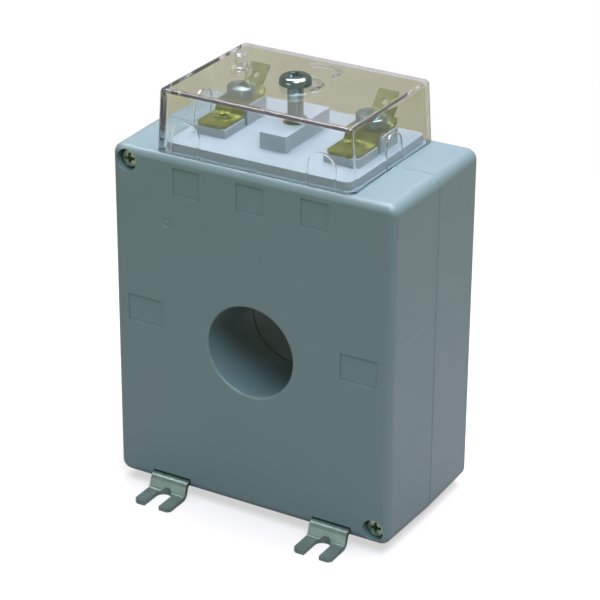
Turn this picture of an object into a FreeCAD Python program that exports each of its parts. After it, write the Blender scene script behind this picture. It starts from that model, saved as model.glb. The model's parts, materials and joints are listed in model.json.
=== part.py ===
import FreeCAD, Part
import math
import os
import re
import Sketcher

# Window-type current transformer for low-voltage panels, in millimetres.
# X runs along the front face, Y from the front to the back, Z up.
# The origin lies on the surface that the feet stand on, under the middle of the case.

SIZES = {
    # Case: two moulded half shells that meet at mid depth, widest at the joint
    "case_width": 79.0,
    "case_height": 91.1,
    "case_depth": 42.9,
    "case_corner": 3.1,
    "case_draft": 1.2,
    "case_wall": 2.5,
    "case_edge": 2.0,
    "joint_bevel": 0.3,
    "lip_inset": 0.9,
    "lip_width": 0.8,
    "lip_depth": 1.2,
    # Window for the primary conductor
    "window_radius": 12.0,
    "window_drop": 1.85,
    "window_rim": 0.5,
    "tube_wall": 2.0,
    # Corner bosses, screws and locating pins
    "screw_side_inset": 4.6,
    "screw_end_inset": 4.2,
    "boss_radius": 3.4,
    "screw_radius": 1.5,
    "screw_head_radius": 2.75,
    "screw_head_height": 2.0,
    "screw_length": 30.0,
    "head_recess": 1.6,
    "locating_pin": 1.4,
    "pin_length": 2.4,
    "pilot_run": 1.0,
    # Ribs that seat the coil
    "rib_thickness": 1.8,
    "rib_root": 1.25,
    # Marking fields in the front face
    "field_depth": 0.3,
    "side_field_width": 10.1,
    "top_field_width": 7.6,
    "field_height": 7.3,
    "side_field_inset": 9.3,
    "left_field_lift": 4.0,
    "right_field_lift": 2.9,
    "top_field_pitch": 17.8,
    "top_field_drop": 7.0,
    # Feet: bent steel strips in pockets of the case
    "foot_width": 10.6,
    "foot_thickness": 1.2,
    "foot_drop": 3.35,
    "foot_inset": 16.2,
    "foot_reach": 9.7,
    "foot_tongue": 11.5,
    "foot_bend_angle": 72.0,
    "foot_bend_start": 0.6,
    "foot_bend_radius": 0.7,
    "foot_slot_width": 4.3,
    "foot_slot_length": 7.6,
    "foot_corner": 0.8,
    "pocket_floor": 1.35,
    "pocket_depth": 12.0,
    "pocket_headroom": 0.6,
    # Terminal deck, in the same shallow seat as the cover
    "cover_seat": 0.45,
    "deck_gap": 0.7,
    "deck_corner": 1.6,
    "deck_rise": 2.2,
    "neck_inset": 4.1,
    "flange_margin": 2.0,
    "flange_height": 2.0,
    "block_width": 7.2,
    "block_length": 20.6,
    "block_rise": 4.15,
    # Terminals
    "terminal_inset": 9.35,
    "terminal_y": 4.6,
    "terminal_block_width": 8.8,
    "low_seat": 2.2,
    "high_seat": 4.15,
    "seat_tail": 0.7,
    "strip_width": 8.0,
    "strip_thickness": 0.8,
    "strip_front": 9.9,
    "strip_corner": 1.0,
    "strip_step_y": -0.6,
    "strip_step_angle": 60.0,
    "strip_bend_y": 8.4,
    "tab_width": 5.2,
    "tab_length": 8.2,
    "tab_shoulder": 1.0,
    "tab_angle": 45.0,
    "tab_hole": 0.9,
    "tab_hole_way": 5.0,
    "rivet_y": 3.6,
    "rivet_radius": 1.5,
    "rivet_bore": 0.9,
    "rivet_rim": 2.4,
    "rivet_crown": 0.5,
    "rivet_round": 0.2,
    "terminal_screw_radius": 2.0,
    "terminal_screw_length": 10.0,
    "terminal_head_radius": 3.6,
    "terminal_head_height": 2.4,
    "terminal_head_round": 0.5,
    "clamp_side": 6.8,
    "clamp_corner": 0.5,
    "clamp_thickness": 0.5,
    "nut_side": 7.0,
    "nut_height": 2.2,
    # Transparent terminal cover
    "cover_width": 54.8,
    "cover_depth": 41.0,
    "cover_height": 15.95,
    "cover_wall": 1.5,
    "cover_draft": 3.4,
    "cover_corner": 2.6,
    "cover_edge": 1.3,
    "arch_width": 8.0,
    "arch_height": 8.9,
    "arch_line": 0.4,
    "arch_depth": 0.6,
    "arch_pitch": 37.4,
    "gate_width": 2.8,
    "gate_reach": 0.6,
    "gate_height": 0.7,
    "guide_radius": 2.7,
    "guide_bore": 1.6,
    "guide_gap": 2.7,
    "stub_radius": 1.6,
    "stub_rise": 2.4,
    # Sealing screw in the middle of the cover
    "seal_radius": 2.0,
    "seal_length": 16.0,
    "seal_head_radius": 4.0,
    "seal_head_height": 2.35,
    "seal_head_round": 1.3,
    "insert_radius": 2.8,
    "insert_length": 8.0,
    "insert_band": 3.2,
    "insert_waist": 0.4,
    # Core and coil
    "core_inner": 19.0,
    "coil_side_gap": 3.1,
    "core_width": 26.0,
    "cap_wall": 1.1,
    "coil_build": 1.5,
    "coil_gap": 24.0,
    "coil_edge": 1.0,
    "lead_room": 8.0,
    "lead_radius": 0.7,
    "lead_x": 9.0,
    "lead_y": 7.9,
    "lead_bend": 2.5,
    # Clearances
    "fit_gap": 0.1,
    "slide_gap": 0.25,
    # How far a cut runs past the face that it opens
    "overrun": 1.0,
}

# Sizes that follow from the ones above
DERIVED = {
    "half_depth": "case_depth / 2",
    "case_base": "foot_drop - pocket_floor",
    "case_mid": "case_base + case_height / 2",
    "case_top": "case_base + case_height",
    "window_z": "case_mid - window_drop",
    "tube_radius": "window_radius + tube_wall",
    "screw_x": "case_width / 2 - screw_side_inset",
    "screw_dz": "case_height / 2 - screw_end_inset",
    "side_field_x": "case_width / 2 - side_field_inset",
    "top_field_z": "case_top - top_field_drop",
    "foot_x": "case_width / 2 - foot_inset",
    "head_seat": "head_recess + screw_head_height",
    "cover_base": "case_top - cover_seat",
    "deck_width": "cover_width - 2 * (cover_wall + deck_gap)",
    "deck_depth": "cover_depth - 2 * (cover_wall + deck_gap)",
    "deck_top": "cover_base + deck_rise",
    "neck_width": "deck_width - 2 * neck_inset",
    "neck_depth": "deck_depth - 2 * neck_inset",
    "terminal_x": "cover_width / 2 - terminal_inset",
    "low_top": "deck_top + low_seat",
    "high_top": "deck_top + high_seat",
    "strip_top": "high_top + strip_thickness",
    "cover_top": "cover_base + cover_height",
    "screw_seat": "strip_top + clamp_thickness",
    "guide_end": "screw_seat + terminal_head_height + guide_gap - cover_base",
    "coil_hollow": "cap_wall + 2 * fit_gap",
    "side_room": "case_width / 2 - case_wall - coil_side_gap",
    "top_room": "case_top - window_z - case_wall - flange_height - lead_room",
    "core_outer": "min(side_room; top_room) - coil_hollow - coil_build",
    "coil_inner": "core_inner - coil_hollow - coil_build",
    "coil_outer": "core_outer + coil_hollow + coil_build",
    "coil_width": "core_width + 2 * coil_hollow + 2 * coil_build",
    "pocket_height": "foot_thickness + pocket_headroom",
    "pocket_z": "foot_drop + pocket_height / 2",
}

QUARTER_TURN = 90

doc = FreeCAD.newDocument("CurrentTransformer")
sheet = doc.addObject("Spreadsheet::Sheet", "Sizes")
for row, (alias, size) in enumerate(SIZES.items(), start=1):
    sheet.set("A%d" % row, alias)
    sheet.set("B%d" % row, str(size))
    sheet.setAlias("B%d" % row, alias)
doc.recompute()


def formula(text):
    """The text with each size's name turned into a reference to the sheet."""
    def swap(match):
        word = match.group(0)
        if word in DERIVED:
            return "(" + formula(DERIVED[word]) + ")"
        if word in SIZES:
            return "Sizes." + word
        return word
    return re.sub(r"[a-z][a-z0-9_]*", swap, text)


def amount(text):
    """The present value of a formula."""
    return float(sheet.evalExpression(formula(text)))


def bind(thing, prop, text):
    thing.setExpression(prop, formula(text))


def new_body(label):
    body = doc.addObject("PartDesign::Body", label)
    body.Label = label
    return body


def place(body, x="0", y="0", z="0", turn=0):
    axis = FreeCAD.Vector(0, 0, 1)
    body.Placement = FreeCAD.Placement(FreeCAD.Vector(), FreeCAD.Rotation(axis, turn))
    bind(body, "Placement.Base.x", x)
    bind(body, "Placement.Base.y", y)
    bind(body, "Placement.Base.z", z)


def new_sketch(body, name, role, out="0", up="0", tilt=None, lean_out=False):
    """A sketch on an origin plane of the body, moved out along the plane's normal and up.

    A tilt leans it back about its own horizontal axis, or forward with lean_out.
    """
    sketch = body.newObject("Sketcher::SketchObject", name)
    plane = [part for part in body.Origin.OriginFeatures if part.Role == role][0]
    sketch.AttachmentSupport = [(plane, "")]
    sketch.MapMode = "FlatFace"
    if tilt is not None:
        axis = FreeCAD.Vector(1 if lean_out else -1, 0, 0)
        sketch.AttachmentOffset = FreeCAD.Placement(FreeCAD.Vector(), FreeCAD.Rotation(axis, 1))
        bind(sketch, "AttachmentOffset.Rotation.Angle", tilt)
    bind(sketch, "AttachmentOffset.Base.y", up)
    bind(sketch, "AttachmentOffset.Base.z", out)
    return sketch


def fix(sketch, kind, where, size):
    """A sketch dimension bound to the sheet."""
    index = sketch.addConstraint(Sketcher.Constraint(kind, *where, amount(size)))
    name = "size_%d" % index
    sketch.renameConstraint(index, name)
    bind(sketch, "Constraints." + name, size)


def fix_point(sketch, geometry, point, x, y):
    fix(sketch, "DistanceX", (-1, 1, geometry, point), x)
    fix(sketch, "DistanceY", (-1, 1, geometry, point), y)


def draw_polygon(sketch, corners):
    points = [FreeCAD.Vector(amount(x), amount(y), 0) for x, y in corners]
    first = sketch.GeometryCount
    for start, end in zip(points, points[1:] + points[:1]):
        sketch.addGeometry(Part.LineSegment(start, end), False)
    count = len(points)
    for i in range(count):
        follower = first + (i + 1) % count
        sketch.addConstraint(Sketcher.Constraint("Coincident", first + i, 2, follower, 1))
    for i, (x, y) in enumerate(corners):
        fix_point(sketch, first + i, 1, x, y)


def draw_rectangle(sketch, width, height, x="0", y="0"):
    left, right = "%s - (%s) / 2" % (x, width), "%s + (%s) / 2" % (x, width)
    low, high = "%s - (%s) / 2" % (y, height), "%s + (%s) / 2" % (y, height)
    draw_polygon(sketch, [(left, low), (right, low), (right, high), (left, high)])


def draw_circle(sketch, radius, x="0", y="0"):
    centre = FreeCAD.Vector(amount(x), amount(y), 0)
    round_edge = Part.Circle(centre, FreeCAD.Vector(0, 0, 1), amount(radius))
    index = sketch.addGeometry(round_edge, False)
    fix(sketch, "Radius", (index,), radius)
    fix_point(sketch, index, 3, x, y)


def draw_arc(sketch, radius, start, end, x, y):
    """A part circle from the angle start to the angle end, in degrees."""
    centre = FreeCAD.Vector(amount(x), amount(y), 0)
    circle = Part.Circle(centre, FreeCAD.Vector(0, 0, 1), amount(radius))
    arc = Part.ArcOfCircle(circle, math.radians(start), math.radians(end))
    index = sketch.addGeometry(arc, False)
    fix(sketch, "Radius", (index,), radius)
    fix_point(sketch, index, 3, x, y)
    return index


def draw_rounded(sketch, width, height, radius, x="0", y="0"):
    """A rectangle with four round corners, its lines tangent to its arcs."""
    across = "((%s) / 2 - (%s))" % (width, radius)
    along = "((%s) / 2 - (%s))" % (height, radius)
    corners = [("+", "+"), ("-", "+"), ("-", "-"), ("+", "-")]
    arcs = []
    for turns, (side, level) in enumerate(corners):
        arc_x = "%s %s %s" % (x, side, across)
        arc_y = "%s %s %s" % (y, level, along)
        start = turns * QUARTER_TURN
        arcs.append(draw_arc(sketch, radius, start, start + QUARTER_TURN, arc_x, arc_y))
    for i, arc in enumerate(arcs):
        after = arcs[(i + 1) % 4]
        start = sketch.Geometry[arc].EndPoint
        end = sketch.Geometry[after].StartPoint
        line = sketch.addGeometry(Part.LineSegment(start, end), False)
        sketch.addConstraint(Sketcher.Constraint("Tangent", arc, 2, line, 1))
        sketch.addConstraint(Sketcher.Constraint("Tangent", line, 2, after, 1))


def draw_arch(sketch, x):
    """The thin outline of an arched knock-out that runs out below the wall's foot."""
    foot = "0 - arch_height / 4"
    crown = "arch_height - arch_width / 2"
    outer = draw_arc(sketch, "arch_width / 2", 0, 180, x, crown)
    inner = draw_arc(sketch, "arch_width / 2 - arch_line", 0, 180, x, crown)
    for arc_end in (1, 2):
        legs = []
        for arc in (outer, inner):
            head = sketch.Geometry[arc].StartPoint if arc_end == 1 else sketch.Geometry[arc].EndPoint
            toe = FreeCAD.Vector(head.x, amount(foot), 0)
            leg = sketch.addGeometry(Part.LineSegment(head, toe), False)
            sketch.addConstraint(Sketcher.Constraint("Horizontal", arc, arc_end, arc, 3))
            sketch.addConstraint(Sketcher.Constraint("Coincident", arc, arc_end, leg, 1))
            sketch.addConstraint(Sketcher.Constraint("Vertical", leg))
            fix(sketch, "DistanceY", (-1, 1, leg, 2), foot)
            legs.append(leg)
        toes = [sketch.Geometry[leg].EndPoint for leg in legs]
        closing = sketch.addGeometry(Part.LineSegment(toes[0], toes[1]), False)
        sketch.addConstraint(Sketcher.Constraint("Coincident", legs[0], 2, closing, 1))
        sketch.addConstraint(Sketcher.Constraint("Coincident", legs[1], 2, closing, 2))


def pad(body, sketch, length, back=False, taper=None, both=False):
    feature = body.newObject("PartDesign::Pad", sketch.Name + "_pad")
    feature.Profile = sketch
    feature.Reversed = back
    feature.Midplane = both
    bind(feature, "Length", length)
    if taper is not None:
        bind(feature, "TaperAngle", taper)
    doc.recompute()
    return feature


def pocket(body, sketch, length, forward=False, taper=None, both=False):
    """A cut from the sketch against its normal, or along it where forward is set."""
    feature = body.newObject("PartDesign::Pocket", sketch.Name + "_cut")
    feature.Profile = sketch
    feature.Reversed = forward
    feature.Midplane = both
    bind(feature, "Length", length)
    if taper is not None:
        bind(feature, "TaperAngle", taper)
    doc.recompute()
    return feature


def dress(body, kind, edges, size):
    """A fillet or chamfer on the named edges of the body's last feature."""
    base = body.Tip
    feature = body.newObject("PartDesign::" + kind, base.Name + "_" + kind.lower())
    feature.Base = (base, edges)
    bind(feature, "Radius" if kind == "Fillet" else "Size", size)
    doc.recompute()
    return feature


def edges_where(shape, test):
    return ["Edge%d" % i for i, edge in enumerate(shape.Edges, start=1) if test(edge)]


def lies_at(edge, axis, level, slack=0.001):
    """True where both ends and the middle of an edge lie at a level of X, Y or Z."""
    box = edge.BoundBox
    low = {"x": box.XMin, "y": box.YMin, "z": box.ZMin}[axis]
    high = {"x": box.XMax, "y": box.YMax, "z": box.ZMax}[axis]
    return abs(low - level) < slack and abs(high - level) < slack


def revolve(body, name, corners, role="XZ_Plane"):
    """A turned piece: a half section drawn to the right of the vertical axis."""
    sketch = new_sketch(body, name, role)
    draw_polygon(sketch, corners)
    feature = body.newObject("PartDesign::Revolution", name + "_turned")
    feature.Profile = sketch
    feature.ReferenceAxis = (sketch, ["V_Axis"])
    feature.Angle = 360
    doc.recompute()
    return feature


# Cross recess of a screw, as shares of its head's radius, radius and height
CROSS_REACH = 0.52
CROSS_ARM = 0.11
CROSS_DEPTH = 0.6


def cross_recess(body, reach, arm, depth, top):
    """The cross recess of a screw head, narrowing towards its floor."""
    sketch = new_sketch(body, body.Name + "_cross", "XY_Plane", out=top)
    r, a = "(%s)" % reach, "(%s)" % arm
    corners = [(r, a), (a, a), (a, r), ("-" + a, r), ("-" + a, a), ("-" + r, a)]
    corners += [("-" + r, "-" + a), ("-" + a, "-" + a), ("-" + a, "-" + r)]
    corners += [(a, "-" + r), (a, "-" + a), (r, "-" + a)]
    draw_polygon(sketch, corners)
    return pocket(body, sketch, depth)


def pan_screw(label, shank, length, head, height, crown):
    """A screw with a crowned head that stands on Z = 0, and its shank below."""
    body = new_body(label)
    tip = "(%s) / 3" % shank
    revolve(body, label + "_section", [
        ("0", "0 - (%s)" % length),
        ("%s - %s" % (shank, tip), "0 - (%s)" % length),
        (shank, "%s - (%s)" % (tip, length)),
        (shank, "0"),
        (head, "0"),
        (head, height),
        ("0", height),
    ])
    top = amount(height)
    dress(body, "Fillet", edges_where(body.Shape, lambda edge: lies_at(edge, "z", top)), crown)
    reach, arm = "(%s) * %s" % (head, CROSS_REACH), "(%s) * %s" % (head, CROSS_ARM)
    cross_recess(body, reach, arm, "(%s) * %s" % (height, CROSS_DEPTH), height)
    return body


# Case shells

def shell_corners():
    return [(side, level) for side in ("-", "+") for level in ("-", "+")]


def screw_corners():
    """The two corners, on one diagonal, that take the screws."""
    return [("-", "+"), ("+", "-")]


def pin_corners():
    return [("-", "-"), ("+", "+")]


def corner_circles(sketch, corners, radius):
    for side, level in corners:
        draw_circle(sketch, radius, "0 %s screw_x" % side, "case_mid %s screw_dz" % level)


def case_shell(label, front):
    """One half of the case. The front half goes towards -Y, the back half towards +Y."""
    body = new_body(label)
    away = -1 if front else 1
    sign = "" if front else "-"
    face = amount("half_depth") * away

    def sketch_at(name, out="0"):
        return new_sketch(body, label + "_" + name, "XZ_Plane", out="%s(%s)" % (sign, out))

    outline = sketch_at("outline")
    draw_rounded(outline, "case_width", "case_height", "case_corner", y="case_mid")
    pad(body, outline, "half_depth", back=not front, taper="0 - case_draft")
    dress(body, "Fillet", edges_where(body.Shape, lambda edge: lies_at(edge, "y", face)), "case_edge")
    dress(body, "Chamfer", edges_where(body.Shape, lambda edge: lies_at(edge, "y", 0)), "joint_bevel")

    cavity = sketch_at("cavity")
    inner_corner = "case_corner - case_wall / 2"
    inner_width, inner_height = "case_width - 2 * case_wall", "case_height - 2 * case_wall"
    draw_rounded(cavity, inner_width, inner_height, inner_corner, y="case_mid")
    draw_circle(cavity, "tube_radius", y="window_z")
    pocket(body, cavity, "half_depth - case_wall", forward=front)

    # Corner bosses
    bosses = sketch_at("bosses")
    corner_circles(bosses, shell_corners(), "boss_radius")
    pad(body, bosses, "half_depth - rib_root", back=not front)

    # Spokes on the end wall seat the flat of the coil, and fins along the tube centre it
    coil_face = "coil_width / 2 + fit_gap"
    ribs = [("spoke", coil_face, "2 * (coil_outer - case_wall)"), ("fin", "0", "2 * (coil_inner - fit_gap)")]
    for name, start, span in ribs:
        for word, width, height in (("across", span, "rib_thickness"), ("upright", "rib_thickness", span)):
            rib = sketch_at("%s_%s" % (name, word), start)
            draw_rectangle(rib, width, height, y="window_z")
            pad(body, rib, "half_depth - rib_root - (%s)" % start, back=not front)

    # Thick pads round the foot pockets
    for side in ("-", "+"):
        word = "left" if side == "-" else "right"
        pocket_pad = sketch_at("foot_pad_" + word, "half_depth - pocket_depth - rib_root")
        pad_low = "case_base + rib_root"
        pad_high = "foot_drop + pocket_height + rib_root"
        draw_rectangle(
            pocket_pad,
            "foot_width + 2 * slide_gap + case_wall",
            "%s - (%s)" % (pad_high, pad_low),
            x="0 %s foot_x" % side,
            y="(%s + %s) / 2" % (pad_low, pad_high),
        )
        pad(body, pocket_pad, "pocket_depth", back=not front)
        slot = sketch_at("foot_pocket_" + word, "half_depth")
        draw_rectangle(slot, "foot_width + 2 * slide_gap", "pocket_height", x="0 %s foot_x" % side, y="pocket_z")
        pocket(body, slot, "pocket_depth", forward=not front)

    # Window through the tube
    window = sketch_at("window", "half_depth")
    draw_circle(window, "window_radius", y="window_z")
    pocket(body, window, "case_depth", forward=not front)

    if front:
        screw_seats = sketch_at("screw_seats", "half_depth")
        corner_circles(screw_seats, screw_corners(), "screw_head_radius + fit_gap")
        pocket(body, screw_seats, "head_seat", forward=not front)
        screw_ways = sketch_at("screw_ways", "half_depth")
        corner_circles(screw_ways, screw_corners(), "screw_radius + fit_gap")
        pocket(body, screw_ways, "half_depth", forward=not front)
        pin_holes = sketch_at("pin_holes")
        corner_circles(pin_holes, pin_corners(), "locating_pin + fit_gap")
        pocket(body, pin_holes, "pin_length + slide_gap", forward=front)
        groove = sketch_at("lip_groove")
        lip_ring(groove, "lip_inset", "lip_width")
        pocket(body, groove, "lip_depth", forward=front)
        fields = sketch_at("fields", "half_depth")
        for side, lift in (("-", "left_field_lift"), ("+", "right_field_lift")):
            draw_rectangle(fields, "side_field_width", "field_height", x="0 %s side_field_x" % side,
                           y="window_z + %s" % lift)
        for step in ("-1", "0", "1"):
            draw_rectangle(fields, "top_field_width", "field_height", x="%s * top_field_pitch" % step, y="top_field_z")
        pocket(body, fields, "field_depth", forward=not front)
    else:
        pilots = sketch_at("screw_pilots")
        corner_circles(pilots, screw_corners(), "screw_radius + fit_gap / 2")
        pocket(body, pilots, "screw_length - half_depth + head_seat + pilot_run", forward=front)
        pins = sketch_at("pins")
        corner_circles(pins, pin_corners(), "locating_pin")
        pad(body, pins, "pin_length", back=front)
        tongue = sketch_at("lip_tongue")
        lip_ring(tongue, "lip_inset + fit_gap", "lip_width - 2 * fit_gap")
        pad(body, tongue, "lip_depth - fit_gap", back=front)

    # Shallow seat in the top wall for the cover, and the opening that holds the neck of the deck
    seat = new_sketch(body, label + "_cover_seat", "XY_Plane", out="case_top + overrun")
    seat_width, seat_depth = "cover_width + 2 * fit_gap", "cover_depth + 2 * fit_gap"
    draw_rounded(seat, seat_width, seat_depth, "cover_corner + fit_gap")
    pocket(body, seat, "overrun + cover_seat")
    opening = new_sketch(body, label + "_deck_opening", "XY_Plane", out="case_top + overrun")
    draw_rectangle(opening, "neck_width + 2 * fit_gap", "neck_depth + 2 * fit_gap")
    pocket(body, opening, "case_wall + 2 * overrun")

    rim = edges_where(body.Shape, lambda edge: lies_at(edge, "y", face) and is_round(edge, "window_radius"))
    dress(body, "Fillet", rim, "window_rim")
    joint = edges_where(body.Shape, lambda edge: lies_at(edge, "y", 0) and is_round(edge, "window_radius"))
    dress(body, "Chamfer", joint, "joint_bevel")
    return body


def is_round(edge, radius):
    curve = edge.Curve
    return curve.TypeId == "Part::GeomCircle" and abs(curve.Radius - amount(radius)) < 0.001


def lip_ring(sketch, inset, width):
    """A ring that follows the joint of the case, inset from its outline."""
    for offset in (inset, "%s + %s" % (inset, width)):
        draw_rounded(
            sketch,
            "case_width - 2 * (%s)" % offset,
            "case_height - 2 * (%s)" % offset,
            "case_corner - (%s)" % offset,
            y="case_mid",
        )


# Feet

def foot(label, side, rear):
    """A bent strip with a slotted ear. It points to -Y, with the case's face at Y = 0."""
    body = new_body(label)
    profile = new_sketch(body, label + "_profile", "YZ_Plane")
    bend_end = "0 - foot_bend_start - foot_drop / tan(foot_bend_angle)"
    miter = "foot_thickness * tan(foot_bend_angle / 2)"
    draw_polygon(profile, [
        ("foot_tongue", "foot_drop"),
        ("0 - foot_bend_start", "foot_drop"),
        (bend_end, "0"),
        ("0 - foot_reach", "0"),
        ("0 - foot_reach", "foot_thickness"),
        ("%s - %s" % (bend_end, miter), "foot_thickness"),
        ("0 - foot_bend_start - %s" % miter, "foot_drop + foot_thickness"),
        ("foot_tongue", "foot_drop + foot_thickness"),
    ])
    pad(body, profile, "foot_width", both=True)
    slot = new_sketch(body, label + "_slot", "XY_Plane", out="foot_thickness + overrun")
    slot_end = "foot_reach - foot_slot_length + foot_slot_width / 2"
    draw_circle(slot, "foot_slot_width / 2", y="0 - (%s)" % slot_end)
    pocket(body, slot, "foot_thickness + 2 * overrun")
    mouth = new_sketch(body, label + "_mouth", "XY_Plane", out="foot_thickness + overrun")
    draw_rectangle(mouth, "foot_slot_width", "foot_slot_length", y="0 - (%s) - foot_slot_length / 2" % slot_end)
    pocket(body, mouth, "foot_thickness + 2 * overrun")
    inner = [("0 - foot_bend_start", "foot_drop"), ("%s - %s" % (bend_end, miter), "foot_thickness")]
    outer = [(bend_end, "0"), ("0 - foot_bend_start - %s" % miter, "foot_drop + foot_thickness")]
    for spots, radius in ((inner, "foot_bend_radius"), (outer, "foot_bend_radius + foot_thickness")):
        marks = [(amount(y), amount(z)) for y, z in spots]
        found = edges_where(body.Shape, lambda edge: any(
            lies_at(edge, "y", y) and lies_at(edge, "z", z) for y, z in marks))
        dress(body, "Fillet", found, radius)
    tip = -amount("foot_reach")
    half = amount("foot_width") / 2
    found = edges_where(body.Shape, lambda edge: lies_at(edge, "y", tip) and (
        lies_at(edge, "x", half) or lies_at(edge, "x", -half)))
    dress(body, "Chamfer", found, "foot_corner")
    turn = 180 if rear else 0
    place(body, "0 %s foot_x" % side, "half_depth" if rear else "0 - half_depth", "0", turn)
    return body


# Terminal deck, cover and sealing screw

def terminal_deck():
    body = new_body("terminal_deck")
    plate = new_sketch(body, "deck_plate", "XY_Plane", out="cover_base")
    draw_rounded(plate, "deck_width", "deck_depth", "deck_corner")
    pad(body, plate, "deck_rise")
    neck = new_sketch(body, "deck_neck", "XY_Plane", out="cover_base")
    draw_rectangle(neck, "neck_width", "neck_depth")
    pad(body, neck, "case_wall - cover_seat + fit_gap", back=True)
    flange = new_sketch(body, "deck_flange", "XY_Plane", out="case_top - case_wall - fit_gap")
    draw_rectangle(flange, "neck_width + 2 * flange_margin", "neck_depth + 2 * flange_margin")
    pad(body, flange, "flange_height", back=True)
    block = new_sketch(body, "deck_block", "XY_Plane", out="deck_top")
    draw_rectangle(block, "block_width", "block_length")
    pad(body, block, "block_rise")
    for side, word in (("-", "left"), ("+", "right")):
        x = "0 %s terminal_x" % side
        low = new_sketch(body, "low_seat_" + word, "XY_Plane", out="deck_top")
        low_length = "(strip_front + strip_step_y)"
        draw_rectangle(low, "terminal_block_width", low_length, x=x, y="strip_step_y - %s / 2" % low_length)
        pad(body, low, "low_seat")
        high = new_sketch(body, "high_seat_" + word, "XY_Plane", out="deck_top")
        high_start = "strip_step_y + (high_seat - low_seat) / tan(strip_step_angle)"
        high_end = "strip_bend_y + seat_tail"
        draw_rectangle(high, "terminal_block_width", "%s - (%s)" % (high_end, high_start), x=x,
                       y="(%s + %s) / 2" % (high_start, high_end))
        pad(body, high, "high_seat")
        nut = new_sketch(body, "nut_pocket_" + word, "XY_Plane", out="high_top")
        draw_rectangle(nut, "nut_side + 2 * fit_gap", "nut_side + 2 * fit_gap", x=x, y="terminal_y")
        pocket(body, nut, "nut_height")
        ways = new_sketch(body, "deck_ways_" + word, "XY_Plane", out="high_top")
        draw_circle(ways, "terminal_screw_radius + slide_gap", x=x, y="terminal_y")
        draw_circle(ways, "rivet_radius + fit_gap", x=x, y="0 - rivet_y")
        draw_circle(ways, "lead_radius + slide_gap", x=x, y="0 - lead_y")
        pocket(body, ways, "high_top - case_top + case_wall + 2 * flange_height")
    socket = new_sketch(body, "insert_socket", "XY_Plane", out="deck_top + block_rise")
    draw_circle(socket, "insert_radius + fit_gap")
    pocket(body, socket, "insert_length")
    screw_end = new_sketch(body, "seal_relief", "XY_Plane", out="deck_top + block_rise")
    draw_circle(screw_end, "seal_radius + slide_gap")
    pocket(body, screw_end, "block_rise + deck_rise + case_wall + flange_height / 2")
    return body


def terminal_cover():
    body = new_body("terminal_cover")
    outer = new_sketch(body, "cover_outline", "XY_Plane")
    draw_rounded(outer, "cover_width", "cover_depth", "cover_corner")
    pad(body, outer, "cover_height", taper="0 - cover_draft")
    top = amount("cover_height")
    dress(body, "Fillet", edges_where(body.Shape, lambda edge: lies_at(edge, "z", top)), "cover_edge")
    inner = new_sketch(body, "cover_hollow", "XY_Plane")
    inner_corner = "cover_corner - cover_wall / 2"
    draw_rounded(inner, "cover_width - 2 * cover_wall", "cover_depth - 2 * cover_wall", inner_corner)
    pocket(body, inner, "cover_height - cover_wall", forward=True, taper="0 - cover_draft")
    # A blind tube over the left screw, with a solid stub above it
    tube_x = "0 - terminal_x"
    guide = new_sketch(body, "guide_tube", "XY_Plane", out="guide_end")
    draw_circle(guide, "guide_radius", x=tube_x, y="terminal_y")
    pad(body, guide, "cover_height - cover_wall / 2 - guide_end")
    bore = new_sketch(body, "guide_bore", "XY_Plane", out="guide_end")
    draw_circle(bore, "guide_bore", x=tube_x, y="terminal_y")
    pocket(body, bore, "cover_height - cover_wall - guide_end", forward=True)
    stub = new_sketch(body, "guide_stub", "XY_Plane", out="cover_height - cover_wall / 2")
    draw_circle(stub, "stub_radius", x=tube_x, y="terminal_y")
    pad(body, stub, "stub_rise + cover_wall / 2")
    hole = new_sketch(body, "seal_hole", "XY_Plane", out="cover_height + overrun")
    draw_circle(hole, "seal_radius + slide_gap")
    pocket(body, hole, "cover_wall + 2 * overrun")
    front_wall = new_sketch(body, "front_arches", "XZ_Plane", out="cover_depth / 2", tilt="cover_draft")
    draw_arch(front_wall, "0 - arch_pitch / 2")
    draw_arch(front_wall, "arch_pitch / 2")
    pocket(body, front_wall, "arch_depth")
    # Stub of the moulding gate at the foot of the front wall
    gate = new_sketch(body, "gate_stub", "XY_Plane", out="cover_seat + fit_gap")
    draw_rounded(gate, "gate_width", "2 * gate_reach", "gate_reach - fit_gap", y="0 - cover_depth / 2")
    pad(body, gate, "gate_height")
    right_wall = new_sketch(body, "right_arch", "YZ_Plane", out="cover_width / 2", tilt="cover_draft")
    draw_arch(right_wall, "0")
    pocket(body, right_wall, "arch_depth")
    left_wall = new_sketch(body, "left_arch", "YZ_Plane", out="0 - cover_width / 2", tilt="cover_draft",
                           lean_out=True)
    draw_arch(left_wall, "0")
    pocket(body, left_wall, "arch_depth", forward=True)
    place(body, z="cover_base")
    return body


def sealing_insert():
    body = new_body("sealing_insert")
    bore = "seal_radius + fit_gap / 2"
    waist = "insert_radius - insert_waist"
    revolve(body, "insert_section", [
        (bore, "0 - insert_length"),
        (waist, "0 - insert_length"),
        ("insert_radius", "insert_waist - insert_length"),
        ("insert_radius", "insert_band - insert_length"),
        (waist, "insert_band - insert_length"),
        (waist, "0 - insert_band"),
        ("insert_radius", "0 - insert_band"),
        ("insert_radius", "0"),
        (bore, "0"),
    ])
    place(body, z="deck_top + block_rise")
    return body


# Terminals

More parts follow.
